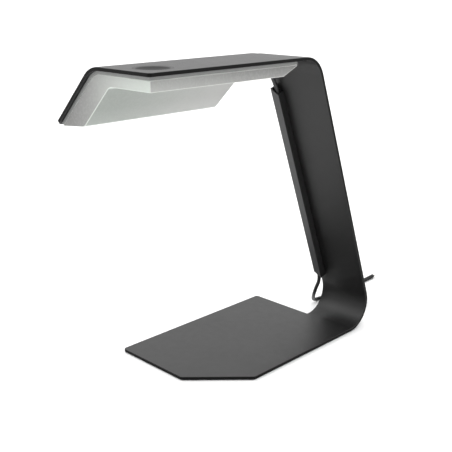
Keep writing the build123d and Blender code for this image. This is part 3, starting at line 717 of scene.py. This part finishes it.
def make_strain_relief():
    """Tapered sleeve with soft grooves, from the lead's size up to the grip's."""
    grooves = 4
    rings = 8 * grooves
    groove_depth = 0.14 * MM
    lip = 0.04 * MM
    near_lead = 2.66 * MM
    widening = 0.29 * MM
    profile = [(0, near_lead - lip)]
    for i in range(rings):
        share = (i + 0.5) / rings
        ripple = groove_depth * (1 - math.cos(2 * math.pi * share * grooves)) / 2
        profile.append((share * RELIEF_LENGTH, near_lead + widening * share - ripple))
    profile.append((RELIEF_LENGTH, near_lead + widening))
    mesh = lathe("relief_sleeve", plug_start, plug_way, profile, plug_plastic)
    add_piece("relief_sleeve", mesh, "lamp", "plug_strain_relief")


def make_grip():
    """Moulded grip with a row of finger ribs round its middle."""
    length = 24 * MM
    radius = 3.1 * MM
    ribs = 9
    pitch = 1.5 * MM
    inset = 0.18 * MM
    first = (length - (ribs - 1) * pitch) / 2
    # Pairs of place along the grip and step down from its radius, from an end to the middle.
    grip_end = [(0, 0.5 * MM), (0.2 * MM, 0.2 * MM), (0.6 * MM, 0), (first - 1.4 * MM, 0),
                (first - 1.0 * MM, inset)]
    profile = [(along, radius - down) for along, down in grip_end]
    profile += [(length - along, radius - down) for along, down in reversed(grip_end)]
    core = lathe("grip_core", plug_start + plug_way * RELIEF_LENGTH, plug_way, profile, plug_plastic)
    rib_side = [(0.36 * MM, 0.40 * MM), (0.30 * MM, 0.16 * MM), (0.14 * MM, 0.02 * MM)]
    profile = [(-along, radius - down) for along, down in rib_side]
    profile += [(along, radius - down) for along, down in reversed(rib_side)]
    rib = lathe("grip_rib", Vector((0, 0, 0)), plug_way, profile, plug_plastic)
    rows = row_of(rib, ribs, plug_way * pitch, plug_plastic)
    rows.transform(Matrix.Translation(plug_start + plug_way * (RELIEF_LENGTH + first)))
    add_piece("plug_grip", joined("plug_grip", [core, rows]), "lamp", "plug_body")


def make_strap():
    """Hook-and-loop strap pulled round one side of the coil, over its top turn."""
    half = LEAD / 2
    inner = coil_middle.x + coil_radius - half
    outer = coil_middle.x + coil_radius + half
    top = LEAD * (COIL_TURNS / COIL_WIDE + 0.5)
    corners = [(inner, half), (outer, half), (outer, top), (inner, top)]
    slack = 0.1 * MM
    thickness = 1.0 * MM
    width = 10 * MM
    steps = 6
    loops = []
    for grow in (slack, slack + thickness):
        loop = []
        for i, (x, z) in enumerate(corners):
            for j in range(steps + 1):
                angle = math.radians(180 + 90 * i + 90 * j / steps)
                loop.append((x + (half + grow) * math.cos(angle),
                             max(z + (half + grow) * math.sin(angle), 0.0)))
        loops.append(loop)
    form = bmesh.new()
    rings = [[form.verts.new((x, coil_middle.y + side * width / 2, z)) for x, z in loop]
             for side, loop in ((-1, loops[0]), (-1, loops[1]), (1, loops[1]), (1, loops[0]))]
    count = len(loops[0])
    for near, far in zip(rings, rings[1:] + rings[:1]):
        for i in range(count):
            after = (i + 1) % count
            form.faces.new((near[i], near[after], far[after], far[i]))
    bmesh.ops.recalc_face_normals(form, faces=form.faces)
    for face in form.faces:
        face.smooth = abs(face.normal.y) < 0.5
    mesh = bpy.data.meshes.new("coil_strap")
    form.to_mesh(mesh)
    form.free()
    mesh.materials.append(tie_web)
    add_piece("coil_strap", mesh, "lamp", "coil_tie")


make_strain_relief()
make_grip()
make_strap()


# ---- the LEDs ----
def make_leds(node):
    """A row of white packages, each with a domed phosphor lens."""
    low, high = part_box(node)
    count = 12
    size = 3.5 * MM
    package = 0.55 * MM
    chamfer = 0.1 * MM
    sunk = 0.02 * MM
    lens = 1.25 * MM
    height = 0.8 * MM
    middle = (low + high) / 2
    first = Vector((middle.x, low.y + size / 2, middle.z))
    outwards = Vector((1, 0, -1)).normalized()
    foot = first - outwards * height / 2
    step = Vector((0, (high.y - low.y - size) / (count - 1), 0))
    corner = size * math.sqrt(0.5)
    profile = [(0, corner - chamfer), (chamfer, corner), (package - chamfer, corner),
               (package, corner - chamfer)]
    block = lathe("package", Vector((0, 0, 0)), outwards, profile, led_ceramic, sides=4)
    block.transform(Matrix.Rotation(math.radians(45), 4, outwards))
    for face in block.polygons:
        face.use_smooth = False
    angles = [math.radians(15 * i) for i in range(6)]
    profile = [((height - package) * math.sin(angle), lens * math.cos(angle)) for angle in angles]
    dome = lathe("dome", outwards * (package - sunk), outwards, profile, phosphor, sides=20)
    packages = row_of(block, count, step, led_ceramic)
    domes = row_of(dome, count, step, phosphor)
    mesh = joined(node + "_row", [packages, domes])
    mesh.transform(Matrix.Translation(foot))
    add_piece(node + "_row", mesh, "lamp", node)


for led_node in ("leds_1", "leds_2"):
    make_leds(led_node)


# ---- pieces that show ----
LOW_BEND = 12 * MM
FLAP_FROM_TRAY_END = 84 * MM
LEVEL_WITHIN = 0.02
sheet_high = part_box("sheet_body")[1]
bend_start = sheet_high.y - LOW_BEND
flap_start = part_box("diffuser")[1].x - FLAP_FROM_TRAY_END


def cut_side(face):
    """Whether a face of the bent sheet is one of its cut sides, and not the back of the low bend."""
    normal = face.normal
    middle = face.calc_center_median()
    on_low_bend = normal.y > 0.9 and middle.y > bend_start
    upright = abs(normal.z) < LEVEL_WITHIN and not on_low_bend
    on_flap = middle.x < flap_start and middle.z > sheet_high.z / 2
    return upright or (on_flap and abs(normal.x - normal.z) < LEVEL_WITHIN)


# The cut sides take the darker coat, which is painted shade.
softened("bent_sheet", "sheet_body", 0.35 * MM, coat_edge, side_finish=coat_cut_side_shade, is_side=cut_side)
# The tray's rounded edges take the painted highlight finish.
softened("frosted_tray", "diffuser", 0.7 * MM, acrylic_highlight_edge)
softened("tray_rim", "diffuser_frame", 0.3 * MM)
softened("push_button", "button_cap", 0.25 * MM)
softened("lead_channel", "duct_cover", 0.25 * MM)


# ---- floor and light ----
# Strengths of the studio's parts. The last is what the camera sees behind the lamp.
HORIZON = 1.05
OVERHEAD = 1.1
FLAG = 0.90
BACKGROUND = 1.05
# Edges of those parts, in the direction's own parts, as (start, stop).
OVERHEAD_EDGE = (0.15, 0.75)
FLAG_EDGE = (-0.1, 0.6)
FLAG_TOP = (0.45, 0.85)


def make_floor():
    """Matt pale floor that reaches far past the horizon that the camera sees."""
    f = Finish("pale_floor")
    shade = f.ramp(f.noise(0.4, 2), [(0.3, 0.80), (0.7, 0.82)])
    paper = f.surface(Base_Color=shade, Roughness=0.9, Specular_IOR_Level=0.1)
    mesh = bpy.data.meshes.new("floor")
    reach = 60.0
    mesh.from_pydata([(-reach, -reach, 0), (reach, -reach, 0), (reach, reach, 0),
                      (-reach, reach, 0)], [], [(0, 1, 2, 3)])
    mesh.materials.append(paper)
    floor = bpy.data.objects.new("floor", mesh)
    bpy.context.scene.collection.objects.link(floor)


def make_world():
    """White studio with a large overhead light; the side that the camera looks from is dark."""
    f = Finish("studio", "worlds", "Generated")
    x, y, z = f.axes()
    overhead = f.rise(z, *OVERHEAD_EDGE) * OVERHEAD
    towards_flag = x * 0.8 - y * 0.6
    flag = f.rise(towards_flag, *FLAG_EDGE) * (1 - f.rise(z, *FLAG_TOP)) * FLAG
    light = HORIZON + overhead - flag
    seen = f.node("ShaderNodeLightPath", {}, [], "Is Camera Ray")
    strength = light * (1 - seen) + seen * BACKGROUND
    background = f.node("ShaderNodeBackground", {}, {"Color": (1, 1, 1, 1), "Strength": strength})
    f.node("ShaderNodeOutputWorld", {}, [background])
    bpy.context.scene.world = f.material
    bpy.context.scene.view_settings.view_transform = "Standard"


def add_softbox(name, place, aim, size, watts):
    """A rectangular light at a place, turned to its aim."""
    light = bpy.data.lights.new(name, "AREA")
    light.shape = "RECTANGLE"
    light.size, light.size_y = size
    light.energy = watts
    lamp = bpy.data.objects.new(name, light)
    lamp.location = place
    direction = Vector(aim) - Vector(place)
    lamp.rotation_euler = direction.to_track_quat("-Z", "Y").to_euler()
    bpy.context.scene.collection.objects.link(lamp)


make_floor()
make_world()
add_softbox("key_softbox", place=(-1.4, -0.9, 1.5), aim=(0, 0, 0.15), size=(1.2, 1.2), watts=6)
